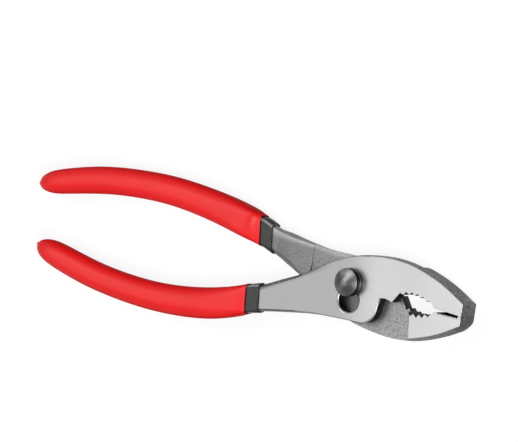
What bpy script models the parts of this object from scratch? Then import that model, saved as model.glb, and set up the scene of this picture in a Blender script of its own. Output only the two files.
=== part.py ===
"""Slip joint pliers of the 200 mm class: two forged levers, a bolt and nut, and two-layer dipped grips.

Units are metres. The pliers lie flat on the nut with +Z up, out of the face that carries the bolt head.
+X runs along the pliers to the nose, the pivot axis is X = Y = 0, and the jaws are closed.
Both levers come from one forging, so each is described in its own lever coordinates: x along the pliers,
reach outwards from the shared centre line (positive towards its jaw's back), and depth from its ground face.
"""

import math
from types import SimpleNamespace

import bmesh
import bpy
from mathutils import Vector

# Thicknesses and clearances
LEVER_THICKNESS = 0.0087
ARM_THICKNESS = 0.0041
LAP_GAP = 0.0003
SEAT_GAP = 0.0003
ARM_STEP = 0.0005
EDGE_ROUNDING = 0.0002
ARM_EDGE_ROUNDING = 0.0009
ARM_CHAMFER_WIDTH = 0.0014
ARM_CHAMFER_DEPTH = 0.0005

# Places along the pliers
CENTRE_LINE_Y = -0.0025
NOSE_X = 0.0512
STEP_X = 0.0267
STEP_SLANT = 0.124
STEP_FLARE = 0.0010
ARM_STEP_X = -0.0218
ARM_SWING_CLEARANCE = 0.0016
ARM_RELIEF_END_X = -0.0330
COLLAR_X = -0.0402
SLEEVE_MOUTH_X = -0.0456
TANG_SHORTER_THAN_GRIP = 0.0075

# Bolt, nut and the two-position slot
SLOT_TRAVEL = 0.0066
LOBE_DIAMETER = 0.0091
SLOT_CHAMFER = 0.0005
SHANK_CLEARANCE = 0.0003
HEAD_DIAMETER = 0.0105
HEAD_SIDE_HEIGHT = 0.0029
HEAD_GROOVE_DEPTH = 0.0004
HEAD_CONE_HEIGHT = 0.0018
HEAD_RIM_ROUNDING = 0.0004
DIMPLE_RADIUS = 0.0005
THREAD_DIAMETER = 0.0060
THREAD_CLEARANCE = 0.0003
NUT_HEIGHT = 0.0032
NUT_ACROSS_FLATS = 0.0111
NUT_CHAMFER = 0.0005

# Dipped grips: wall and gap of each layer over the handle, and the lean of their mouths
GRIP_GAP = 0.00025
LINER_BAND_WALL = 0.00040
LINER_WALL = 0.00025
SLEEVE_MOUTH_WALL = 0.00030
MOUTH_LEAN = 0.12
GRIP_MIDDLE_DEPTH = 0.00295
GRIP_THICKNESS = 0.0098
GRIP_ROUNDNESS = 2.15
MOUTH_ROUNDNESS = 4.0
MOUTH_SWELL_LENGTH = 0.024
GRIP_END_LENGTH = 0.0092
NIPPLE_LENGTH = 0.0006
NIPPLE_RADIUS = 0.0009

# The outline that both levers share, as (x, reach) along the edge of the ground face
OUTER_EDGE = [(-0.024, -0.0001), (-0.016, 0.0049), (-0.008, 0.0091), (0.000, 0.0123), (0.010, 0.0140),
              (0.018, 0.01445), (0.026, 0.0137), (0.034, 0.01175), (0.042, 0.0088), (0.0512, 0.0041)]
# How far the forged sides bulge past the face edge, as (x, bulge)
INNER_BULGE = [(-0.040, 0.0006), (-0.016, 0.0006), (-0.004, 0.0007), (0.004, 0.0004), (0.0063, 0.00005),
               (0.0512, 0.00005)]
# The grip's width, as (x, width)
GRIP_WIDTH = [(-0.151, 0.0095), (-0.140, 0.0098), (-0.130, 0.0105), (-0.110, 0.0106), (-0.090, 0.0110),
              (-0.075, 0.0116), (-0.062, 0.0122), (-0.046, 0.0119)]
# The tang inside the grip, as (x, half width)
TANG_HALF_WIDTH = [(-0.160, 0.0019), (-0.100, 0.0024), (-0.075, 0.0027), (-0.060, 0.0031), (-0.046, 0.00397),
                   (-0.040, 0.00403)]

# The round end of the lap beside the throat, and where the wire notch starts from it, shared by both levers
DISC_CENTRE = (0.0063, -0.0044)
DISC_RADIUS = 0.0070
NOTCH_CORNER = (0.0141, -0.0008)
NOTCH_BOW = 0.0005

FRONT = SimpleNamespace(
    name="front_lever",
    side=1,
    arm_step=-ARM_STEP,
    arm_step_x=ARM_STEP_X + ARM_SWING_CLEARANCE,
    arm_outer_edge=[(-0.040, -0.0075), (-0.032, -0.0041)],
    inner_edge=[(-0.040, -0.01555), (-0.028, -0.0136), (-0.016, -0.0120), (-0.004, -0.0114),
                (0.0063, -0.0114), (0.0512, -0.0114)],
    outer_bulge=[(-0.060, 0.0006), (-0.040, 0.0016), (-0.030, 0.0016), (-0.020, 0.0008), (0.000, 0.0004),
                 (0.020, 0.0004), (0.028, 0.0004), (0.034, 0.0002), (0.044, 0.0005), (0.0512, 0.0010)],
    dip_short=0.0,
    grip_tip_x=-0.1465,
    # The handle's bow, as (x, distance outside the centre line)
    bow=[(-0.046, 0.0129), (-0.060, 0.0170), (-0.075, 0.0193), (-0.090, 0.0200), (-0.105, 0.0192),
         (-0.120, 0.0172), (-0.135, 0.0137), (-0.150, 0.0099)],
    notch_cusp=(0.0195, -0.0013),
    # The pipe teeth: first valley, arc of the valleys, and how far along the pitch each tip leans
    valley_x=0.0226, tooth_pitch=0.00264, tooth_count=5, tooth_depth=0.0010, tooth_lean=0.60,
    valley_arc_x=0.0287, valley_arc_reach=0.0041, valley_arc_radius=0.016,
    grip_line=[(0.0371, 0.0021), (0.0387, 0.0003), (0.0422, 0.0000)],
    serrated_to=(0.0497, -0.0004), serration_count=0, serration_depth=0.0,
    nose_land=(0.0500, -0.0006),
    nose_corner=0.0,
)
BACK = SimpleNamespace(
    name="back_lever",
    side=-1,
    arm_step=ARM_STEP,
    arm_step_x=ARM_STEP_X,
    arm_outer_edge=[(-0.040, -0.0069), (-0.036, -0.0053), (-0.032, -0.0037)],
    inner_edge=[(-0.040, -0.01455), (-0.034, -0.0139), (-0.028, -0.0129), (-0.016, -0.0115),
                (-0.004, -0.0113), (0.0063, -0.0114), (0.0512, -0.0114)],
    outer_bulge=[(-0.060, 0.0006), (-0.040, 0.0015), (-0.034, 0.0018), (-0.028, 0.0018), (-0.020, 0.0010),
                 (0.000, 0.0002), (0.020, 0.0005), (0.031, 0.0010), (0.041, 0.0012), (0.0512, 0.0016)],
    dip_short=0.0013,
    grip_tip_x=-0.1516,
    bow=[(-0.046, 0.0128), (-0.060, 0.0162), (-0.075, 0.0185), (-0.090, 0.0198), (-0.105, 0.0195),
         (-0.120, 0.0181), (-0.135, 0.01515), (-0.152, 0.0109)],
    notch_cusp=(0.0204, -0.0013),
    valley_x=0.0235, tooth_pitch=0.00260, tooth_count=5, tooth_depth=0.0013, tooth_lean=0.42,
    valley_arc_x=0.0302, valley_arc_reach=0.00475, valley_arc_radius=0.016,
    grip_line=[(0.0375, 0.0024), (0.0384, 0.0015), (0.0393, 0.0011), (0.0404, 0.0010)],
    serrated_to=(0.0497, 0.0011), serration_count=10, serration_depth=0.0008,
    nose_land=(0.0499, 0.0009),
    nose_corner=0.0024,
)

# Heights that follow from the sizes above
BACK_FACE_Z = NUT_HEIGHT + SEAT_GAP
FRONT_FACE_Z = BACK_FACE_Z + LEVER_THICKNESS
LAP_DEPTH = (LEVER_THICKNESS - LAP_GAP) / 2
OVERRUN = 0.010
STATION = 0.0030
HANDLE_STATION = 0.0080
TURNED_STEPS = 40
GROUND_ARC = (0, 45, 90)
WALL_POINTS = 3
CHAMFER_ARC = (0, 30, 60, 90)
SIDE_POINTS = len(GROUND_ARC) + WALL_POINTS + len(CHAMFER_ARC)


def smooth(points, x):
    """Read a smooth curve through (x, value) points: cubic pieces whose slopes come from the neighbours."""
    if x <= points[0][0]:
        return points[0][1]
    if x >= points[-1][0]:
        return points[-1][1]
    last = len(points) - 1
    i = max(k for k in range(last) if points[k][0] <= x)

    def slope(k):
        a, b = points[max(k - 1, 0)], points[min(k + 1, last)]
        return (b[1] - a[1]) / (b[0] - a[0])

    (x0, y0), (x1, y1) = points[i], points[i + 1]
    run = x1 - x0
    t = (x - x0) / run
    return ((1 + 2 * t) * (1 - t) ** 2 * y0 + t * (1 - t) ** 2 * run * slope(i)
            + t * t * (3 - 2 * t) * y1 + t * t * (t - 1) * run * slope(i + 1))


def blend(x, start, end):
    """Go from 0 at start to 1 at end with level ends."""
    t = min(max((x - start) / (end - start), 0.0), 1.0)
    return t * t * (3 - 2 * t)


def spaced(start, end, step):
    """Even stations from start to end, no further apart than step."""
    count = max(1, math.ceil(abs(end - start) / step - 1e-6))
    return [start + (end - start) * i / count for i in range(count + 1)]


def place(lever, x, reach, depth):
    """Turn lever coordinates into the pliers' own. The back lever is the front one turned over about X."""
    y = CENTRE_LINE_Y + lever.side * reach
    middle = (BACK_FACE_Z + FRONT_FACE_Z) / 2
    return Vector((x, y, middle + lever.side * (LEVER_THICKNESS / 2 - depth)))


def material(name, colour, roughness, metallic):
    """One plain surface per kind of material."""
    made = bpy.data.materials.get(name)
    if made is None:
        made = bpy.data.materials.new(name)
        made.use_nodes = True
        shader = made.node_tree.nodes["Principled BSDF"]
        shader.inputs["Base Color"].default_value = (*colour, 1.0)
        shader.inputs["Roughness"].default_value = roughness
        shader.inputs["Metallic"].default_value = metallic
    return made


def ground_steel():
    return material("ground_steel", (0.56, 0.56, 0.55), 0.35, 1.0)


def dark_steel():
    return material("dark_steel", (0.10, 0.10, 0.10), 0.30, 1.0)


def black_vinyl():
    return material("black_vinyl", (0.045, 0.047, 0.047), 0.45, 0.0)


def red_vinyl():
    return material("red_vinyl", (0.83, 0.02, 0.02), 0.50, 0.0)


def new_object(name, mesh, collection, surface=None):
    """Link a mesh as a named object. A cutter has no surface and is hidden from renders."""
    made = bpy.data.objects.new(name, mesh)
    collection.objects.link(made)
    if surface is None:
        made.hide_render = True
        made.display_type = "WIRE"
    else:
        mesh.materials.append(surface)
    return made


def loft(name, rings):
    """Skin a closed body over rings of equally many points, with a flat cap on each end."""
    bm = bmesh.new()
    rows = [[bm.verts.new(point) for point in ring] for ring in rings]
    for row, following in zip(rows, rows[1:]):
        for i in range(len(row)):
            j = (i + 1) % len(row)
            bm.faces.new((row[i], row[j], following[j], following[i]))
    bm.faces.new(rows[0])
    bm.faces.new(rows[-1])
    bmesh.ops.recalc_face_normals(bm, faces=bm.faces)
    mesh = bpy.data.meshes.new(name)
    bm.to_mesh(mesh)
    bm.free()
    return mesh


def cut(target, cutter, operation="DIFFERENCE"):
    """Cut a body with another one."""
    step = target.modifiers.new(cutter.name, "BOOLEAN")
    step.operation = operation
    step.solver = "EXACT"
    step.object = cutter


def shade(mesh, degrees):
    """Smooth shading, with the edges that turn further than this kept crisp."""
    mesh.shade_smooth()
    mesh.set_sharp_from_angle(angle=math.radians(degrees))


def handle_edges(lever):
    """The outer and inner face edges from the tang's end to the nose, as two lists of points."""
    outer, inner = [], []
    for x, drop in lever.bow[::-1]:
        if x < lever.arm_outer_edge[0][0] - HANDLE_STATION / 2:
            outer.append((x, smooth(TANG_HALF_WIDTH, x) - drop))
            inner.append((x, -smooth(TANG_HALF_WIDTH, x) - drop))
    return outer + lever.arm_outer_edge + OUTER_EDGE, inner + lever.inner_edge


def forging_depth(lever, x):
    """Depth of the forging's inner side: full in the head, and stepped behind the lap."""
    if x > lever.arm_step_x:
        return LEVER_THICKNESS
    relieved = LAP_DEPTH + lever.arm_step
    return relieved + (ARM_THICKNESS - relieved) * blend(x, ARM_RELIEF_END_X, COLLAR_X)


def side_profile(depth, half, bulge, rounding, chamfer):
    """One side of a forging as (sideways, depth): round ground edge, bulging wall, soft lap-side chamfer."""
    def wall(d):
        return bulge * (1 - ((d - half) / half) ** 2)

    chamfer_width, chamfer_depth = chamfer
    low, high = rounding, depth - chamfer_depth
    profile = []
    for angle in map(math.radians, GROUND_ARC):
        profile.append((wall(low) - rounding * (1 - math.sin(angle)), rounding * (1 - math.cos(angle))))
    for i in range(WALL_POINTS):
        d = low + (high - low) * (i + 1) / (WALL_POINTS + 1)
        profile.append((wall(d), d))
    for angle in map(math.radians, CHAMFER_ARC):
        sideways = wall(high) - chamfer_width * (1 - math.cos(angle))
        profile.append((sideways, high + chamfer_depth * math.sin(angle)))
    return profile


def nose_fall(lever, x, depth):
    """How far the jaw's back comes in at the nose, where the corner on the ground side is trimmed round."""
    radius = lever.nose_corner
    past = min(max(x - (NOSE_X - radius), 0.0), radius)
    return (radius - math.sqrt(radius ** 2 - past ** 2)) * (1 - depth / LEVER_THICKNESS)


def forging_ring(lever, x, grow=0.0, lean=0.0):
    """One section of the forging, or of a layer over it that is grown by the layer's distance."""
    outer, inner = lever.edges
    middle = (smooth(outer, x) + smooth(inner, x)) / 2
    head = blend(x, -0.034, -0.010)
    half = (ARM_THICKNESS + (LEVER_THICKNESS - ARM_THICKNESS) * head) / 2

    def fading(arm_size):
        return arm_size + (EDGE_ROUNDING - arm_size) * blend(x, ARM_RELIEF_END_X, -0.010)

    rounding = fading(ARM_EDGE_ROUNDING)
    chamfer = (fading(ARM_CHAMFER_WIDTH), fading(ARM_CHAMFER_DEPTH))
    points = []
    for edge, bulges, out in ((outer, lever.outer_bulge, 1), (inner, INNER_BULGE, -1)):
        at = x - lean * (smooth(edge, x) - middle)
        depth = forging_depth(lever, at)
        reach = smooth(edge, at)
        side = []
        for sideways, d in side_profile(depth, half, smooth(bulges, at), rounding, chamfer):
            if out > 0:
                sideways -= nose_fall(lever, at, d)
            d_grown = (d - depth / 2) * (1 + 2 * grow / depth) + depth / 2
            side.append(place(lever, at, reach + out * (sideways + grow), d_grown))
        points += side[::out]
    return points


def sleeve_ring(lever, x, scale=1.0):
    """One rounded section of the sleeve, square to the handle's bow."""
    outer, inner = lever.edges

    def middle(at):
        return (smooth(outer, at) + smooth(inner, at)) / 2

    slope = (middle(x + STATION) - middle(x - STATION)) / (2 * STATION)
    half_width = smooth(GRIP_WIDTH, x) / 2 * scale / (1 + slope * slope)
    half_depth = GRIP_THICKNESS / 2 * scale
    squarer = blend(x, SLEEVE_MOUTH_X - MOUTH_SWELL_LENGTH, SLEEVE_MOUTH_X)
    roundness = GRIP_ROUNDNESS + (MOUTH_ROUNDNESS - GRIP_ROUNDNESS) * squarer
    points = []
    for i in range(2 * SIDE_POINTS):
        angle = math.pi * (SIDE_POINTS - 2 * i - 1) / (2 * SIDE_POINTS) + math.pi / 2
        sideways = math.sin(angle)
        across = math.cos(angle)
        sideways = math.copysign(abs(sideways) ** (2 / roundness), sideways) * half_width
        across = math.copysign(abs(across) ** (2 / roundness), across) * half_depth
        points.append(place(lever, x - slope * sideways, middle(x) + sideways, GRIP_MIDDLE_DEPTH + across))
    return points


def jaw_profile(lever):
    """The cut edge from the lap's round end to the nose: wire notch, pipe teeth and gripping flat."""
    start = math.atan2(-1.0, 0.0)
    outline = []
    for i in range(9):
        angle = start * (1 - i / 8)
        outline.append((DISC_CENTRE[0] + DISC_RADIUS * math.cos(angle),
                        DISC_CENTRE[1] + DISC_RADIUS * math.sin(angle)))
    for i in range(6):
        t = i / 5
        x = NOTCH_CORNER[0] + (lever.notch_cusp[0] - NOTCH_CORNER[0]) * t
        reach = NOTCH_CORNER[1] + (lever.notch_cusp[1] - NOTCH_CORNER[1]) * t
        outline.append((x, reach + NOTCH_BOW * 4 * t * (1 - t)))

    def valley(x):
        radius = lever.valley_arc_radius
        fall = radius - math.sqrt(radius ** 2 - (x - lever.valley_arc_x) ** 2)
        return lever.valley_arc_reach - fall

    for i in range(lever.tooth_count):
        root = lever.valley_x + lever.tooth_pitch * i
        tip = root + lever.tooth_pitch * lever.tooth_lean
        outline.append((root, valley(root)))
        outline.append((tip, valley(tip) - lever.tooth_depth))
    last_root = lever.valley_x + lever.tooth_pitch * lever.tooth_count
    outline.append((last_root, valley(last_root)))
    outline += lever.grip_line
    (x0, r0), (x1, r1) = lever.grip_line[-1], lever.serrated_to
    for i in range(lever.serration_count):
        for t, drop in ((i + 0.5, lever.serration_depth), (i + 1.0, 0.0)):
            t /= lever.serration_count
            outline.append((x0 + (x1 - x0) * t, r0 + (r1 - r0) * t + drop))
    if not lever.serration_count:
        outline.append(lever.serrated_to)
    outline.append(lever.nose_land)
    outline.append((NOSE_X + OVERRUN, lever.nose_land[1]))
    return outline


def throat_cutter(lever, collection):
    """Everything on the far side of the lever's jaw profile, through the full thickness."""
    outline = jaw_profile(lever)
    far = lever.inner_edge[-1][1] - OVERRUN
    outline = [(outline[0][0], far)] + outline + [(outline[-1][0], far)]
    rings = [[place(lever, x, reach, depth) for x, reach in outline]
             for depth in (-OVERRUN, LEVER_THICKNESS + OVERRUN)]
    return new_object(lever.name + "_throat_cutter", loft(lever.name + "_throat_cutter", rings), collection)


def lap_cutter(lever, collection):
    """The recess for the other lever: down to the lap face, up to a slanted step with a rolled edge."""
    far = max(reach for x, reach in OUTER_EDGE) + OVERRUN
    rings = []
    flares = [(1.3, 0.0), (0.7, 0.12), (0.3, 0.4), (0.0, 1.0)]
    flares = [(LEVER_THICKNESS - below * STEP_FLARE, share) for below, share in flares]
    for depth, share in [(LAP_DEPTH, 0.0)] + flares + [(LEVER_THICKNESS + OVERRUN, 1.0)]:
        step = STEP_X + STEP_FLARE * share
        corners = [(lever.arm_step_x, -far), (step - STEP_SLANT * far, -far), (step + STEP_SLANT * far, far),
                   (lever.arm_step_x, far)]
        rings.append([place(lever, x, reach, depth) for x, reach in corners])
    return new_object(lever.name + "_lap_cutter", loft(lever.name + "_lap_cutter", rings), collection)


def slot_outline(grow, z):
    """Two lobes that meet in a neck, where the bolt head's side sits and where it slides to."""
    radius = LOBE_DIAMETER / 2 + grow
    dip = math.asin(SLOT_TRAVEL / 2 / radius)
    steps = 16
    points = []
    for i in range(steps + 1):
        angle = -dip + (math.pi + 2 * dip) * i / steps
        points.append(Vector((radius * math.cos(angle), radius * math.sin(angle), z)))
    for i in range(1, steps):
        angle = math.pi - dip + (math.pi + 2 * dip) * i / steps
        points.append(Vector((radius * math.cos(angle), radius * math.sin(angle) - SLOT_TRAVEL, z)))
    return points


def slot_cutter(collection):
    """The two-position slot through the front lever, chamfered at the ground face."""
    levels = [(0.0, BACK_FACE_Z), (0.0, FRONT_FACE_Z - SLOT_CHAMFER),
              (2 * SLOT_CHAMFER, FRONT_FACE_Z + SLOT_CHAMFER)]
    return new_object("slot_cutter", loft("slot_cutter", [slot_outline(g, z) for g, z in levels]), collection)


def round_cutter(name, radius, low, high, collection):
    """A plain drill along the pivot axis."""
    bm = bmesh.new()
    bmesh.ops.create_cone(bm, cap_ends=True, segments=TURNED_STEPS, radius1=radius, radius2=radius,
                          depth=high - low)
    bmesh.ops.translate(bm, verts=bm.verts, vec=(0.0, 0.0, (low + high) / 2))
    mesh = bpy.data.meshes.new(name)
    bm.to_mesh(mesh)
    bm.free()
    return new_object(name, mesh, collection)


def turned(name, profile, collection, surface=None):
    """A turned body about the pivot axis, from a profile of (radius, z) that runs down its outside."""
    mesh = bpy.data.meshes.new(name)
    mesh.from_pydata([(r, 0.0, z) for r, z in profile], [(i, i + 1) for i in range(len(profile) - 1)], [])
    made = new_object(name, mesh, collection, surface)
    screw = made.modifiers.new("turn", "SCREW")
    screw.axis = "Z"
    screw.angle = 2 * math.pi
    screw.steps = TURNED_STEPS
    screw.render_steps = TURNED_STEPS
    screw.use_merge_vertices = True
    screw.merge_threshold = 0.00001
    screw.use_smooth_shade = False
    return made


def make_lever(lever, parts, cutters):
    """A lever's forging, cut for its jaw, for the other lever's lap and for the bolt."""
    tang_end = lever.grip_tip_x + TANG_SHORTER_THAN_GRIP
    stations = spaced(tang_end, COLLAR_X - STATION, HANDLE_STATION)
    stations += spaced(COLLAR_X, lever.arm_step_x, STATION)
    stations += spaced(lever.arm_step_x + 0.0001, NOSE_X - BACK.nose_corner, STATION)
    stations += [NOSE_X - BACK.nose_corner * share for share in (0.5, 0.2, 0.05, 0.0)]
    mesh = loft(lever.name, [forging_ring(lever, x) for x in stations])
    body = new_object(lever.name, mesh, parts, ground_steel())
    cut(body, throat_cutter(lever, cutters))
    cut(body, lap_cutter(lever, cutters))
    shade(mesh, 30)
    return body


def make_liner(lever, parts):
    """The thin inner dip: a closed sock on the tang, thicker in the band that shows ahead of the sleeve."""
    tang_end = lever.grip_tip_x + TANG_SHORTER_THAN_GRIP
    lean = lever.side * MOUTH_LEAN
    under = GRIP_GAP + LINER_WALL
    band = GRIP_GAP + LINER_BAND_WALL
    shoulder = SLEEVE_MOUTH_X - lever.dip_short + GRIP_GAP
    collar = COLLAR_X - lever.dip_short
    stations = spaced(tang_end, shoulder - HANDLE_STATION, HANDLE_STATION)

    def leaned(x):
        return lean * blend(x, shoulder - HANDLE_STATION, shoulder)

    rings = [shifted(forging_ring(lever, tang_end, under), -under)]
    rings += [forging_ring(lever, x, under) for x in stations]
    rings += [forging_ring(lever, shoulder, grow, lean) for grow in (under, band)]
    rings += [forging_ring(lever, x, band, lean) for x in spaced(shoulder, collar, STATION)[1:]]
    rings += [forging_ring(lever, collar, GRIP_GAP, lean)]
    rings += [forging_ring(lever, x, GRIP_GAP, leaned(x)) for x in [shoulder] + stations[:0:-1]]
    rings += [shifted(forging_ring(lever, tang_end, GRIP_GAP), -GRIP_GAP)]
    mesh = loft(lever.liner, rings)
    shade(mesh, 35)
    return new_object(lever.liner, mesh, parts, black_vinyl())


def shifted(ring, along):
    """The same ring moved along the pliers."""
    return [point + Vector((along, 0.0, 0.0)) for point in ring]


def make_sleeve(lever, parts):
    """The thick outer dip, with a rounded end and the nipple that its last drip leaves."""
    tang_end = lever.grip_tip_x + TANG_SHORTER_THAN_GRIP
    lean = lever.side * MOUTH_LEAN
    bore = 2 * GRIP_GAP + LINER_WALL
    mouth = GRIP_GAP + LINER_BAND_WALL + SLEEVE_MOUTH_WALL
    end = lever.grip_tip_x + NIPPLE_LENGTH
    half = smooth(GRIP_WIDTH, end) / 2
    rings = [sleeve_ring(lever, lever.grip_tip_x, 0.5 * NIPPLE_RADIUS / half),
             sleeve_ring(lever, end, NIPPLE_RADIUS / half)]
    for t in (0.02, 0.08, 0.18, 0.34, 0.62, 1.0):
        rings.append(sleeve_ring(lever, end + GRIP_END_LENGTH * t, math.sqrt(t * (2 - t))))
    mouth_x = SLEEVE_MOUTH_X - lever.dip_short
    swell = mouth_x - HANDLE_STATION
    rings += [sleeve_ring(lever, x) for x in spaced(end + GRIP_END_LENGTH, swell, HANDLE_STATION)[1:]]
    for x in (mouth_x - 0.5 * HANDLE_STATION, mouth_x - 0.2 * HANDLE_STATION, mouth_x):
        share = blend(x, swell, mouth_x) ** 2
        pairs = zip(sleeve_ring(lever, x), forging_ring(lever, x, mouth, lean))
        rings.append([a.lerp(b, share) for a, b in pairs])
    stations = spaced(tang_end, swell, HANDLE_STATION)
    rings.append(forging_ring(lever, mouth_x, bore, lean))
    rings += [forging_ring(lever, x, bore) for x in stations[:0:-1]]
    rings.append(shifted(forging_ring(lever, tang_end, bore), -bore))
    mesh = loft(lever.sleeve, rings)
    shade(mesh, 35)
    return new_object(lever.sleeve, mesh, parts, red_vinyl())


def make_bolt(parts, cutters):
    """The joint bolt: low cone head, shank with two flats for the slot's neck, thread flush with the nut."""
    head = HEAD_DIAMETER / 2
    shank = LOBE_DIAMETER / 2 - SHANK_CLEARANCE
    seat = FRONT_FACE_Z + SEAT_GAP
    rim = seat + HEAD_SIDE_HEIGHT
    thread = THREAD_DIAMETER / 2
    end_chamfer = THREAD_CLEARANCE
    profile = [
        (0.0, rim + HEAD_CONE_HEIGHT - DIMPLE_RADIUS / 2),
        (DIMPLE_RADIUS / 2, rim + HEAD_CONE_HEIGHT - DIMPLE_RADIUS / 3),
        (DIMPLE_RADIUS, rim + HEAD_CONE_HEIGHT),
        (head * 0.35, rim + HEAD_CONE_HEIGHT * 0.78),
        (head * 0.70, rim + HEAD_CONE_HEIGHT * 0.42),
        (head - HEAD_RIM_ROUNDING, rim + HEAD_CONE_HEIGHT * 0.08),
        (head, rim - HEAD_RIM_ROUNDING),
        (head - HEAD_GROOVE_DEPTH, seat + HEAD_SIDE_HEIGHT * 0.50),
        (head, seat + HEAD_SIDE_HEIGHT * 0.42),
        (head, seat),
        (shank, seat),
        (shank, BACK_FACE_Z),
        (thread, BACK_FACE_Z),
        (thread, end_chamfer),
        (thread - end_chamfer, 0.0),
        (0.0, 0.0),
    ]
    bolt = turned("pivot_bolt", profile, parts, dark_steel())
    neck = math.sqrt((LOBE_DIAMETER / 2) ** 2 - (SLOT_TRAVEL / 2) ** 2)
    flat = neck - SHANK_CLEARANCE
    low = BACK_FACE_Z + LEVER_THICKNESS / 2
    high = seat - SEAT_GAP / 2
    for number, sign in ((1, 1), (2, -1)):
        bm = bmesh.new()
        bmesh.ops.create_cube(bm, size=1.0)
        bmesh.ops.scale(bm, verts=bm.verts, vec=(shank, 4 * shank, high - low))
        bmesh.ops.translate(bm, verts=bm.verts, vec=(sign * (flat + shank / 2), 0.0, (low + high) / 2))
        mesh = bpy.data.meshes.new(f"flat_cutter_{number}")
        bm.to_mesh(mesh)
        bm.free()
        cut(bolt, new_object(mesh.name, mesh, cutters))
    return bolt


def make_nut(parts, cutters):
    """A plain hexagon nut with turned corners, its outer face in the plane that the pliers rest on."""
    corner = NUT_ACROSS_FLATS / 2 / math.cos(math.radians(30))
    bm = bmesh.new()
    bmesh.ops.create_cone(bm, cap_ends=True, segments=6, radius1=corner, radius2=corner, depth=NUT_HEIGHT)
    bmesh.ops.translate(bm, verts=bm.verts, vec=(0.0, 0.0, NUT_HEIGHT / 2))
    mesh = bpy.data.meshes.new("pivot_nut")
    bm.to_mesh(mesh)
    bm.free()
    nut = new_object("pivot_nut", mesh, parts, dark_steel())
    bevelled = corner + 2 * NUT_CHAMFER
    blank = [(0.0, NUT_HEIGHT + OVERRUN), (bevelled, NUT_HEIGHT + OVERRUN), (bevelled, 2 * NUT_CHAMFER),
             (corner - 2 * NUT_CHAMFER, 0.0), (corner - 2 * NUT_CHAMFER, -NUT_CHAMFER), (0.0, -NUT_CHAMFER)]
    cut(nut, turned("nut_corner_cutter", blank, cutters), "INTERSECT")
    hole = THREAD_DIAMETER / 2 + THREAD_CLEARANCE
    cut(nut, round_cutter("nut_hole_cutter", hole, -OVERRUN, NUT_HEIGHT + OVERRUN, cutters))
    return nut


def new_collection(name):
    made = bpy.data.collections.new(name)
    bpy.context.scene.collection.children.link(made)
    return made


for old in list(bpy.data.objects):
    bpy.data.objects.remove(old)

pliers = new_collection("slip_joint_pliers")
cutting_tools = new_collection("cutting_tools")

FRONT.liner, FRONT.sleeve = "lower_grip_liner", "lower_grip_sleeve"
BACK.liner, BACK.sleeve = "upper_grip_liner", "upper_grip_sleeve"
FRONT.edges = handle_edges(FRONT)
BACK.edges = handle_edges(BACK)

front_lever = make_lever(FRONT, pliers, cutting_tools)
cut(front_lever, slot_cutter(cutting_tools))
back_lever = make_lever(BACK, pliers, cutting_tools)
cut(back_lever, round_cutter("bore_cutter", LOBE_DIAMETER / 2, BACK_FACE_Z - OVERRUN,
                             FRONT_FACE_Z + OVERRUN, cutting_tools))
for half in (FRONT, BACK):
    make_liner(half, pliers)
    make_sleeve(half, pliers)
make_bolt(pliers, cutting_tools)
make_nut(pliers, cutting_tools)
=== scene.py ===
"""Slip joint pliers of the 200 mm class, lying on their nut: two forged levers, a bolt and dipped grips."""

import math

import bpy
from mathutils import Matrix, Vector


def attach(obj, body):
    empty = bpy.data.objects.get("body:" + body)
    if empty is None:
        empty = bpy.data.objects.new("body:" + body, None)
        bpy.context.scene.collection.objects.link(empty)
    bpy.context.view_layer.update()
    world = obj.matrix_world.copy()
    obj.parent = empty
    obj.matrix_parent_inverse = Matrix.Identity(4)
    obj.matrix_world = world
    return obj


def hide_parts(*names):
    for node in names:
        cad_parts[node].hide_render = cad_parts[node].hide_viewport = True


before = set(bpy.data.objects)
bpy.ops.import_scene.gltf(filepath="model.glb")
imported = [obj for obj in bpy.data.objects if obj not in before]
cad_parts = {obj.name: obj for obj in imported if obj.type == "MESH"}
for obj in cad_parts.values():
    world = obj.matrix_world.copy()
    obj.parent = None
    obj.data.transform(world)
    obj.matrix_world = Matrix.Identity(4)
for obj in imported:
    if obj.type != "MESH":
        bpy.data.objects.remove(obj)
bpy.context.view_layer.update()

# Front lever: one drop forging in tool steel, from the upper jaw to the tang inside the lower grip.
# Its two faces are ground and polished along the pliers, the lap for the other lever keeps the forged
# skin, and the teeth, the wire notch and the bolt's slot are cut through, with their walls painted dark as
# shade.
LEVER_BACK_Z = 0.0035
LEVER_THICKNESS = 0.0087
MIDDLE_Z = LEVER_BACK_Z + LEVER_THICKNESS / 2
FRONT_FACE_Z = LEVER_BACK_Z + LEVER_THICKNESS
CENTRE_LINE_Y = -0.0025
EDGE_BREAK = 0.00010
RIM_CHAMFER = 0.00045
FACE_SKIN = 0.0003
LAP_DEPTH = 0.0015
CHAMFER_DEPTH = 0.0006

# Where the forging's parts lie along X and Y, with a little room round each for finding its edges. A
# reach is measured from the pliers' centre line, towards the side of the lever's own jaw.
TOUCH = 0.00002
ARM_STEP_X = (-0.0240, -0.0190)
LAP_END_X = 0.006
SLOT_RIM_X = (-0.0053, 0.0053)
SLOT_RIM_Y = (-0.0120, 0.0053)
SLOT_WALLS_X = (-0.0052, 0.0052)
SLOT_WALLS_REACH = (-0.0095, 0.0076)
NOTCH_X = (0.0085, 0.0142)
NOTCH_TOP_Y = -0.0032
THROAT_X = 0.0078
THROAT_REACH = 0.0053
FINE_TEETH_X = (0.0395, 0.0500)
FINE_TEETH_Y = (-0.0048, -0.0024)
NOSE_LAND_X = 0.0497
NOSE_LAND_Y = {1: -0.0031, -1: -0.0034}
NOSE_LAND_SHIFT = 0.00012
NOSE_END_X = 0.0486
ARM_RIM_REACH = 0.0131
ARM_RIM_SLOPE = 0.479
HIGHLIGHT_RIM_REACH = 0.0113
HIGHLIGHT_RIM_SLOPE = 0.065
# The centre of the painted shadow on the lap beside the bolt.
SLOT_SHADOW_CENTRE = (-0.0035, -0.0050, 0.0077)
GROUND, FORGED, SIDE, CUT, NOSE = range(5)


def within(value, span):
    return span[0] < value < span[1]


def grey(share):
    return (share, share, share)


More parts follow.
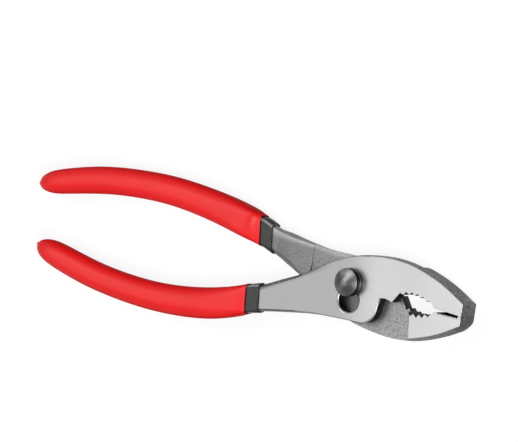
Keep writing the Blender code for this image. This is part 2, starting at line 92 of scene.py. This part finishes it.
def edit(piece, elements):
    """Open one piece alone for editing, with nothing in it selected."""
    bpy.ops.object.select_all(action="DESELECT")
    bpy.context.view_layer.objects.active = piece
    piece.select_set(True)
    bpy.ops.object.mode_set(mode="EDIT")
    bpy.ops.mesh.select_mode(type=elements)
    bpy.ops.mesh.select_all(action="DESELECT")


def apply_modifiers(piece):
    """Make a piece's modifiers part of its mesh."""
    bpy.ops.object.select_all(action="DESELECT")
    bpy.context.view_layer.objects.active = piece
    piece.select_set(True)
    for step in list(piece.modifiers):
        bpy.ops.object.modifier_apply(modifier=step.name)


def open_copy(node, name):
    """A separate piece in a CAD node's shape, open for editing with all of it joined up and selected."""
    piece = bpy.data.objects.new(name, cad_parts[node].data.copy())
    bpy.context.scene.collection.objects.link(piece)
    piece.data.materials.clear()
    edit(piece, "VERT")
    bpy.ops.mesh.select_all(action="SELECT")
    bpy.ops.mesh.remove_doubles(threshold=0.000002)
    return piece


def blank_from(node, name):
    """A separate piece in a CAD node's shape, its loose triangles merged into whole faces."""
    piece = open_copy(node, name)
    bpy.ops.mesh.dissolve_limited(angle_limit=math.radians(0.6))
    bpy.ops.mesh.tris_convert_to_quads(face_threshold=math.radians(3), shape_threshold=math.radians(60))
    bpy.ops.object.mode_set(mode="OBJECT")
    return piece


def break_edges(piece, width, segments, angle, share_at=None):
    """Take the sharpness off the edges that turn further than this, some by a share of the width only."""
    mesh = piece.data
    broken = mesh.attributes.new("bevel_weight_edge", "FLOAT", "EDGE")
    sides = {}
    for face in mesh.polygons:
        for key in face.edge_keys:
            sides.setdefault(key, []).append(face.normal)
    for edge in mesh.edges:
        first, second = sides[edge.key]
        if first.angle(second) > math.radians(angle):
            ends = [mesh.vertices[corner].co for corner in edge.vertices]
            broken.data[edge.index].value = share_at(ends) if share_at else 1.0
    step = piece.modifiers.new("broken_edges", "BEVEL")
    step.limit_method = "WEIGHT"
    step.width = width
    step.segments = segments
    step.use_clamp_overlap = False
    step.miter_outer = "MITER_ARC"
    apply_modifiers(piece)


def shade(piece, angle):
    """Smooth shading that keeps flat faces flat, and crisp the edges that turn further than this."""
    edit(piece, "FACE")
    bpy.ops.mesh.select_all(action="SELECT")
    bpy.ops.mesh.mod_weighted_strength(set=True, face_strength="WEAK")
    bpy.ops.mesh.select_all(action="DESELECT")
    bpy.ops.object.mode_set(mode="OBJECT")
    for face in piece.data.polygons:
        face.select = abs(face.normal.z) > 0.9995
    bpy.ops.object.mode_set(mode="EDIT")
    bpy.ops.mesh.mod_weighted_strength(set=True, face_strength="STRONG")
    bpy.ops.object.mode_set(mode="OBJECT")
    bpy.ops.object.shade_smooth_by_angle(angle=math.radians(angle))
    step = piece.modifiers.new("flat_faces", "WEIGHTED_NORMAL")
    step.mode = "CORNER_ANGLE"
    step.use_face_influence = True
    step.keep_sharp = True
    apply_modifiers(piece)


class Tone:
    """A value or colour on its way through a finish. Arithmetic on it adds the Math nodes."""

    def __init__(self, finish, socket):
        self.finish = finish
        self.socket = socket

    def math(self, operation, *others):
        return self.finish.node("ShaderNodeMath", {"operation": operation},
                                dict(enumerate((self, *others))))

    def __add__(self, other):
        return self.math("ADD", other)

    def __mul__(self, other):
        return self.math("MULTIPLY", other)

    def __sub__(self, other):
        return self.math("SUBTRACT", other)

    def __rsub__(self, other):
        return self.math("MULTIPLY", -1.0).math("ADD", other)

    __radd__ = __add__
    __rmul__ = __mul__

    def ramp(self, low, high):
        """0 below low, 1 above high, with soft ends."""
        return self.finish.node("ShaderNodeMapRange", {"interpolation_type": "SMOOTHSTEP"},
                                {"Value": self, "From Min": low, "From Max": high})


class Finish:
    """One surface finish: a Principled material and the nodes that vary it."""

    def __init__(self, name, metallic):
        self.material = bpy.data.materials.new(name)
        self.material.use_nodes = True
        self.nodes = self.material.node_tree.nodes
        self.shader = self.nodes["Principled BSDF"]
        self.set("Metallic", metallic)
        self.place = self.node("ShaderNodeTexCoord", {}, {}, "Object")

    def set(self, socket, value):
        """Put a constant or a tone on one of the shader's sockets."""
        self.feed(self.shader.inputs[socket], value)

    def feed(self, socket, value):
        if isinstance(value, Tone):
            self.material.node_tree.links.new(value.socket, socket)
        elif socket.type == "RGBA":
            socket.default_value = (*value, 1.0)
        else:
            socket.default_value = value

    def node(self, kind, settings, inputs, output=0):
        """Add any node: its settings first, then the values or tones of its sockets."""
        made = self.nodes.new(kind)
        for name, value in settings.items():
            setattr(made, name, value)
        for name, value in inputs.items():
            self.feed(made.inputs[name], value)
        return Tone(self, made.outputs[output])

    def stretched(self, x, y, z):
        """The place on the piece, scaled so that a pattern has this many repeats a metre each way."""
        return self.node("ShaderNodeMapping", {}, {"Vector": self.place, "Scale": (x, y, z)})

    def noise(self, x, y, z, detail=3.0, roughness=0.55):
        """A cloudy pattern, with so many clouds a metre along each of the piece's axes."""
        return self.node("ShaderNodeTexNoise", {}, {"Vector": self.stretched(x, y, z), "Scale": 1.0,
                                                    "Detail": detail, "Roughness": roughness})

    def mix(self, share, first, second):
        """A colour between two others."""
        return self.node("ShaderNodeMix", {"data_type": "RGBA"}, {0: share, 6: first, 7: second}, 2)

    def along(self, axis):
        """The place along X, Y or Z, in metres."""
        return self.node("ShaderNodeSeparateXYZ", {}, {0: self.place}, axis)

    def noted(self, name):
        """A value that the mesh holds for each of its points."""
        return self.node("ShaderNodeAttribute", {"attribute_name": name}, {}, "Fac")

    def bump(self, height, distance, strength=1.0):
        """Raise and lower the surface by up to distance, in metres."""
        self.set("Normal", self.node("ShaderNodeBump", {}, {"Height": height, "Distance": distance,
                                                            "Strength": strength}))


def ground_finish(name, side, low, high):
    """Steel ground along the pliers, painted lighter towards the nose and near its end, and painted darker
    as shade along the arm's rim.
    """
    finish = Finish(name, 1.0)
    along = finish.along("X")
    across = (finish.along("Y") - CENTRE_LINE_Y) * side
    from_rim = ARM_RIM_REACH + along * ARM_RIM_SLOPE - across
    # Painted light: the ground face gets lighter towards the nose.
    painted_light_sweep = along.ramp(-0.006, 0.014)
    streaks = finish.noise(22, 420, 420, 4.0)
    clouds = finish.noise(45, 70, 70, 2.0)
    scratches = finish.noise(90, 5200, 5200, 2.0)
    tone = painted_light_sweep + (streaks - 0.5) * 0.30 + (clouds - 0.5) * 0.35
    # Painted shade: a dark band on the ground face along the arm's rounded rim.
    painted_rim_shade = from_rim.ramp(0.0028, 0.0010) * along.ramp(-0.008, -0.022) * 0.80
    # Painted highlight: the face whitens further near the nose end.
    bright = finish.mix(along.ramp(0.026, 0.054) * 0.25, finish.mix(tone, low, high), grey(0.80))
    finish.set("Base Color", finish.mix(painted_rim_shade, bright, grey(0.10)))
    finish.set("Roughness", 0.30 + streaks * 0.14)
    finish.bump(scratches, 0.000004, 0.6)
    return finish.material


def forged_finish(name, side, low, high, pits, rising, span):
    """The sand-blasted skin of a forging, with so many pits a metre. Painted light makes it lighter along a
    span of one axis, a painted highlight lightens the arm's rim, and a painted shadow darkens the lap round
    the bolt."""
    finish = Finish(name, 1.0)
    fine = finish.noise(pits * 2.2, pits * 2.2, pits * 2.2, 2.0)
    coarse = finish.noise(pits, pits, pits, 2.0)
    clouds = finish.noise(110, 110, 110, 2.0)
    speckle = (fine * 0.3 + coarse * 0.7).ramp(0.32, 0.68)
    # Painted light: the finish gets lighter along the given span of one axis.
    painted_light_sweep = finish.along(rising).ramp(*span)
    across = (finish.along("Y") - CENTRE_LINE_Y) * side
    # Painted highlight: the skin is lightened along the arm's upper rim.
    from_rim = HIGHLIGHT_RIM_REACH - finish.along("X") * HIGHLIGHT_RIM_SLOPE + across
    painted_rim_highlight = from_rim.ramp(0.0024, 0.0006)
    # Painted shadow: the lap darkens round a point beside the bolt, where the slot's wall shades it.
    from_slot_shadow = finish.node("ShaderNodeVectorMath", {"operation": "DISTANCE"},
                           {0: finish.place, 1: SLOT_SHADOW_CENTRE}, "Value")
    tone = (speckle - 0.5) * (painted_light_sweep * 0.6 + 0.4) + clouds * 0.3 + painted_light_sweep * 0.45 + painted_rim_highlight * 0.55
    tone = tone - from_slot_shadow.ramp(0.0068, 0.0036) * 1.2
    finish.set("Base Color", finish.mix(tone, low, high))
    finish.set("Roughness", 0.40 + clouds * 0.2)
    finish.bump(fine * 0.4 + coarse * 0.6, 0.00003)
    return finish.material


def lever_finishes(side):
    """The finishes of a lever in the order of its zones, mirrored for the lever that is turned over."""
    return (
        ground_finish("ground_faces", side, grey(0.41), grey(0.60)),
        forged_finish("forged_skin", side, grey(0.22), grey(0.52), 2000, "X", (-0.040, 0.020)),
        # Sides: the forged skin painted darker as shade, and lighter towards the top.
        forged_finish("trimmed_sides_painted_shade", side, grey(0.03), grey(0.24), 1300, "Z", (LEVER_BACK_Z, 0.0130)),
        # Cut walls of the teeth, notch and slot: painted near black as shade in the recesses, a little
        # lighter towards the top.
        forged_finish("cut_walls_painted_shade", side, grey(0.008), grey(0.03), 1300, "Z", (LEVER_BACK_Z, 0.03)),
        # Nose ends: ground steel painted darker as shade, and lighter towards +Y.
        forged_finish("nose_ends_painted_shade", side, grey(0.06), grey(0.20), 1300, "Y", (-0.0120, 0.0060)),
    )


def rim_share(ends):
    """The share of the whole chamfer that an edge gets: all of it on the rims of the slot and the notch,
    none along the arm's step and the fine teeth, and a slight break on the others."""
    x = [point.x for point in ends]
    if min(x) < ARM_STEP_X[1] and max(x) > ARM_STEP_X[0]:
        return 0.0
    on_face = min(point.z for point in ends) > FRONT_FACE_Z - TOUCH
    round_slot = all(within(point.x, SLOT_RIM_X) and within(point.y, SLOT_RIM_Y) for point in ends)
    at_notch = all(within(point.x, NOTCH_X) and point.y < NOTCH_TOP_Y for point in ends)
    if on_face and (round_slot or at_notch):
        return 1.0
    at_fine_teeth = all(within(point.x, FINE_TEETH_X) and within(point.y, FINE_TEETH_Y) for point in ends)
    return 0.0 if at_fine_teeth else EDGE_BREAK / RIM_CHAMFER


def zone(face, side):
    """Which finish a face of a lever has, by how deep it lies in the forging and which way it looks."""
    x = face.center.x
    reach = side * (face.center.y - CENTRE_LINE_Y)
    depth = LEVER_THICKNESS / 2 - side * (face.center.z - MIDDLE_Z)
    flat = abs(face.normal.z)
    outward = side * face.normal.y
    ground_from = 0.96 if x < LAP_END_X else 0.35
    forged_from = 0.80
    # Painted shade and light: the rounded arm edges of the front lever take the dark sides finish, those of
    # the back lever the lighter forged one.
    if x < LAP_END_X and abs(outward) > 0.1:
        forged_from = 0.97 if side > 0 else 0.70
    if x > NOSE_END_X and abs(face.normal.x) > 0.30 and flat < 0.8:
        return NOSE
    if flat > ground_from and not FACE_SKIN <= depth <= LEVER_THICKNESS - FACE_SKIN:
        return GROUND
    at_arm_step = within(x, ARM_STEP_X) and abs(outward) < 0.5
    if at_arm_step or flat > forged_from and depth > LAP_DEPTH:
        return FORGED
    in_slot = within(x, SLOT_WALLS_X) and within(reach, SLOT_WALLS_REACH)
    in_throat = x > THROAT_X and reach < THROAT_REACH and outward < 0.4
    if in_slot or in_throat:
        on_chamfer = side > 0 and x < NOTCH_X[1] and depth < CHAMFER_DEPTH and flat > 0.3
        return GROUND if on_chamfer else CUT
    return SIDE


def make_lever(node, name, side, body):
    """A lever in its CAD node's shape, with the flat land at its nose brought closer to the other's."""
    piece = blank_from(node, name)
    edit(piece, "VERT")
    bpy.ops.object.mode_set(mode="OBJECT")
    for corner in piece.data.vertices:
        at_land = abs(corner.co.y - NOSE_LAND_Y[side]) < TOUCH
        corner.select = corner.co.x > NOSE_LAND_X and at_land
    bpy.ops.object.mode_set(mode="EDIT")
    bpy.ops.transform.translate(value=(0.0, -side * NOSE_LAND_SHIFT, 0.0))
    bpy.ops.object.mode_set(mode="OBJECT")
    break_edges(piece, RIM_CHAMFER, 2, 32, rim_share)
    for finish in lever_finishes(side):
        piece.data.materials.append(finish)
    for face in piece.data.polygons:
        face.material_index = zone(face, side)
    shade(piece, 50)
    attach(piece, body)
    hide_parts(node)


make_lever("front_lever", "front_lever_forging", 1, "front_lever")

# Back lever: the same forging turned over, so its long ground face is underneath, and its lap, its
# grainy arm and the short ground face of the lower jaw look up. The bolt runs in a plain bore through it.
make_lever("back_lever", "back_lever_forging", -1, "back_lever")

# Joint bolt: turned from bar, with a low cone on a grooved round head and a threaded end riveted flush
# with the nut. Oiled black and worn lighter in patches, with the side of the head painted near black as
# shade. The head covers the two flats that the shank has for the slot's neck, so the shank is left round.
HEAD_Z = 0.0125
HEAD_RADIUS = 0.00525
THREAD_RADIUS = 0.0030
END_RADIUS = 0.0027
SHANK_RADIUS = 0.00425
CONE_Z = HEAD_Z + 0.0028
BOLT_POINTS = 96
# The radius and height of each ring, from the threaded end up to the dimple in the cone.
BOLT_PROFILE = [
    (THREAD_RADIUS, 0.0003), (THREAD_RADIUS, LEVER_BACK_Z), (SHANK_RADIUS, LEVER_BACK_Z + TOUCH),
    (SHANK_RADIUS, HEAD_Z), (0.0051, HEAD_Z),
    (HEAD_RADIUS, HEAD_Z + 0.00015), (HEAD_RADIUS, HEAD_Z + 0.0011), (0.0049, HEAD_Z + 0.0014),
    (0.0049, HEAD_Z + 0.0016), (HEAD_RADIUS, HEAD_Z + 0.0019), (HEAD_RADIUS, HEAD_Z + 0.0026),
    (0.0051, HEAD_Z + 0.00295), (0.0048, HEAD_Z + 0.0031), (0.0036, HEAD_Z + 0.00365),
    (0.0018, HEAD_Z + 0.0043), (0.0007, HEAD_Z + 0.0046), (0.0004, HEAD_Z + 0.00462),
    (0.0002, HEAD_Z + 0.0045),
]
bpy.ops.object.select_all(action="DESELECT")
bpy.ops.mesh.primitive_circle_add(vertices=BOLT_POINTS, radius=END_RADIUS, fill_type="NGON")
bolt = bpy.context.object
bolt.name = "joint_bolt"
edit(bolt, "FACE")
bpy.ops.mesh.select_all(action="SELECT")
radius = END_RADIUS
height = 0.0
for wider, higher in BOLT_PROFILE:
    bpy.ops.mesh.extrude_region_move(TRANSFORM_OT_translate={"value": (0.0, 0.0, higher - height)})
    share = wider / radius
    bpy.ops.transform.resize(value=(share, share, 1.0), center_override=(0.0, 0.0, higher))
    radius = wider
    height = higher
bpy.ops.mesh.select_all(action="SELECT")
bpy.ops.mesh.normals_make_consistent(inside=False)
bpy.ops.object.mode_set(mode="OBJECT")
shade(bolt, 30)

black_oiled = Finish("oiled_black_steel", 1.0)
turning = black_oiled.noise(700, 700, 700, roughness=0.5)
wear = black_oiled.noise(260, 260, 260)
black_oiled.set("Base Color", black_oiled.mix(wear.ramp(0.35, 0.75), grey(0.21), grey(0.40)))
black_oiled.set("Roughness", 0.30 + wear * 0.12)
black_oiled.bump(turning, 0.000008)
bolt_side = Finish("bolt_side_painted_shade", 1.0)
soot = bolt_side.noise(900, 900, 900)
# Painted shade: the head's side above the flange is near black, the flange below it grey.
below_groove = bolt_side.along("Z").ramp(HEAD_Z + 0.0012, HEAD_Z + 0.0010)
bolt_side.set("Base Color", bolt_side.mix(below_groove, grey(0.018), grey(0.11)))
bolt_side.set("Roughness", 0.30 + soot * 0.15)
bolt_side.bump(soot, 0.000008)
bolt.data.materials.append(black_oiled.material)
bolt.data.materials.append(bolt_side.material)
for face in bolt.data.polygons:
    if face.center.z < CONE_Z:
        face.material_index = 1
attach(bolt, "pivot")
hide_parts("pivot_bolt")

# Nut: a plain hexagon nut under the back lever, its corners turned off, with the same oiled finish.
nut = blank_from("pivot_nut", "joint_nut")
break_edges(nut, 0.00015, 2, 25)
nut.data.materials.append(black_oiled.material)
shade(nut, 30)
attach(nut, "pivot")
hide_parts("pivot_nut")

# Grip liners: the first, thin dip of black vinyl over each handle. It shows as a band ahead of the
# sleeve, and follows the forging's section with corners that the liquid rounded.
def note_facing(piece):
    """Write how far each point of a piece looks up and to the side, where a finish can read it."""
    for name, axis in (("upward", 2), ("sideward", 1)):
        facing = piece.data.attributes.new(name, "FLOAT", "POINT")
        for corner in piece.data.vertices:
            facing.data[corner.index].value = corner.normal[axis]


black_vinyl = Finish("black_vinyl_dip", 0.0)
mottle = black_vinyl.noise(180, 180, 180)
pores = black_vinyl.noise(2400, 2400, 2400, 2.0)
upward = black_vinyl.noted("upward")
sideward = black_vinyl.noted("sideward")
# Painted highlight: a light band where the liner's face turns to its side.
painted_corner_highlight = sideward.ramp(0.02, 0.15) * sideward.ramp(0.80, 0.55) * (mottle * 0.6 + 0.5)
dip_black = black_vinyl.mix(mottle.ramp(0.3, 0.7), (0.012, 0.014, 0.013), (0.020, 0.023, 0.022))
black_vinyl.set("Base Color", black_vinyl.mix(painted_corner_highlight, dip_black, grey(0.30)))
black_vinyl.set("Roughness", 0.20 + mottle * 0.14)
# The dip reflects little by itself, and the coat gives the gloss to what looks up.
black_vinyl.set("Specular IOR Level", 0.08)
black_vinyl.set("Coat Weight", upward.ramp(0.60, 0.95))
black_vinyl.set("Coat Roughness", 0.30)
black_vinyl.bump(mottle * 0.8 + pores * 0.2, 0.00005)
for side_name, body in (("lower", "front_lever"), ("upper", "back_lever")):
    liner = blank_from(side_name + "_grip_liner", side_name + "_liner_dip")
    break_edges(liner, 0.00012, 2, 40)
    liner.data.materials.append(black_vinyl.material)
    shade(liner, 50)
    note_facing(liner)
    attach(liner, body)
    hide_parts(side_name + "_grip_liner")

# Grip sleeves: the second, thick dip of red vinyl, smooth and soft to the touch, with a rounded end
# and the small nipple that its last drip leaves. The copy is let out by a hair, because its rounding
# takes some size away.
SLEEVE_GROWTH = 0.00002
red_vinyl = Finish("red_vinyl_dip", 0.0)
drift = red_vinyl.noise(35, 90, 90)
skin = red_vinyl.noise(900, 900, 900)
dip_red = red_vinyl.mix(drift.ramp(0.3, 0.7), (0.92, 0.010, 0.012), (0.98, 0.013, 0.015))
red_vinyl.set("Base Color", dip_red)
red_vinyl.set("Roughness", 0.46 + drift * 0.12)
red_vinyl.set("Specular IOR Level", 0.03)
red_vinyl.set("Coat Weight", red_vinyl.noted("upward").ramp(0.50, 1.0) * 0.9)
red_vinyl.set("Coat Roughness", 0.40)
red_vinyl.bump(skin, 0.00002)
for side_name, body in (("lower", "front_lever"), ("upper", "back_lever")):
    sleeve = open_copy(side_name + "_grip_sleeve", side_name + "_sleeve_dip")
    bpy.ops.mesh.tris_convert_to_quads(face_threshold=math.radians(30), shape_threshold=math.radians(60))
    bpy.ops.transform.shrink_fatten(value=SLEEVE_GROWTH)
    bpy.ops.object.mode_set(mode="OBJECT")
    smoother = sleeve.modifiers.new("rounding", "SUBSURF")
    smoother.levels = 2
    smoother.render_levels = 2
    apply_modifiers(sleeve)
    sleeve.data.materials.append(red_vinyl.material)
    shade(sleeve, 60)
    note_facing(sleeve)
    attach(sleeve, body)
    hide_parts(side_name + "_grip_sleeve")

# Table: a plain white studio table. Part of its white is its own, so that the pliers' shadow on it
# stays as soft as under a light tent.
TABLE_GLOW = 0.84
bpy.ops.object.select_all(action="DESELECT")
bpy.ops.mesh.primitive_plane_add(size=6.0, location=(0.0, 0.0, 0.0))
table = bpy.context.object
table.name = "studio_table"
paper = Finish("white_paper", 0.0)
paper.set("Roughness", 0.9)
paper.set("Base Color", grey(0.20))
paper.set("Specular IOR Level", 0.0)
paper.set("Emission Color", (1.0, 1.0, 1.0))
seen = paper.node("ShaderNodeLightPath", {}, {}, "Is Camera Ray")
for ray in ("Is Glossy Ray", "Is Transmission Ray"):
    seen = seen.math("MAXIMUM", paper.node("ShaderNodeLightPath", {}, {}, ray))
paper.set("Emission Strength", seen * TABLE_GLOW)
table.data.materials.append(paper.material)

# Light: a dim room with two soft boxes over the pliers, a key at the nose end, and four low panels
# round the table, which the steel shows when it is seen from the side.
world = bpy.data.worlds.new("pale_room")
world.use_nodes = True
background = world.node_tree.nodes["Background"]
background.inputs["Color"].default_value = (1.0, 1.0, 1.0, 1.0)
background.inputs["Strength"].default_value = 0.12
bpy.context.scene.world = world


def soft_box(name, towards, distance, width, height, radiance, seen_only=False):
    """A rectangular lamp that looks at the pliers, or a panel that only shows as a reflection."""
    lamp = bpy.data.lights.new(name, "AREA")
    lamp.shape = "RECTANGLE"
    lamp.size = width
    lamp.size_y = height
    lamp.energy = radiance * width * height * math.pi
    made = bpy.data.objects.new(name, lamp)
    bpy.context.scene.collection.objects.link(made)
    made.visible_diffuse = not seen_only
    direction = Vector(towards).normalized()
    facing = direction.to_track_quat("Z", "Y").to_matrix().to_4x4()
    made.matrix_world = Matrix.Translation(direction * distance) @ facing


soft_box("top_box", (-0.54, -0.06, 0.84), 2.0, 1.5, 1.5, 1.2)
soft_box("rim_box", (-0.32, 0.44, 0.84), 2.0, 1.0, 1.0, 2.8)
soft_box("key_box", (0.60, -0.12, 0.72), 2.0, 1.0, 1.0, 8.8)
PANELS = [(1, 1, 0.8), (1, -1, 0.8), (-1, 1, 0.35), (-1, -1, 0.35)]
for number, (x, y, radiance) in enumerate(PANELS):
    soft_box("panel_" + str(number), (x, y, 0.45), 2.6, 2.6, 1.2, radiance, seen_only=True)

# Camera: a long lens well back, some 36 degrees off the vertical towards the nose end, and turned so
# that the pliers lie across the picture with the nose to the right.
VIEW_BACK = Vector((0.5774, 0.1102, 0.8090)).normalized()
VIEW_RIGHT = Vector((0.7947, 0.1516, -0.5878)).normalized()
VIEW_UP = VIEW_BACK.cross(VIEW_RIGHT)
LOOK_AT = Vector((-0.045575, 0.014343, 0.012071))
DISTANCE = 6.0
SENSOR_WIDTH = 36.0
IMAGE_WIDTH = 518
PIXELS_A_METRE = 2700
camera_data = bpy.data.cameras.new("camera")
camera_data.sensor_width = SENSOR_WIDTH
camera_data.lens = SENSOR_WIDTH * PIXELS_A_METRE * DISTANCE / IMAGE_WIDTH
camera_data.clip_start = 0.5
camera_data.clip_end = 20.0
camera = bpy.data.objects.new("camera", camera_data)
bpy.context.scene.collection.objects.link(camera)
turn = Matrix((VIEW_RIGHT, VIEW_UP, VIEW_BACK)).transposed().to_4x4()
camera.matrix_world = Matrix.Translation(LOOK_AT + VIEW_BACK * DISTANCE) @ turn
bpy.context.scene.camera = camera
bpy.context.scene.view_settings.view_transform = "Standard"
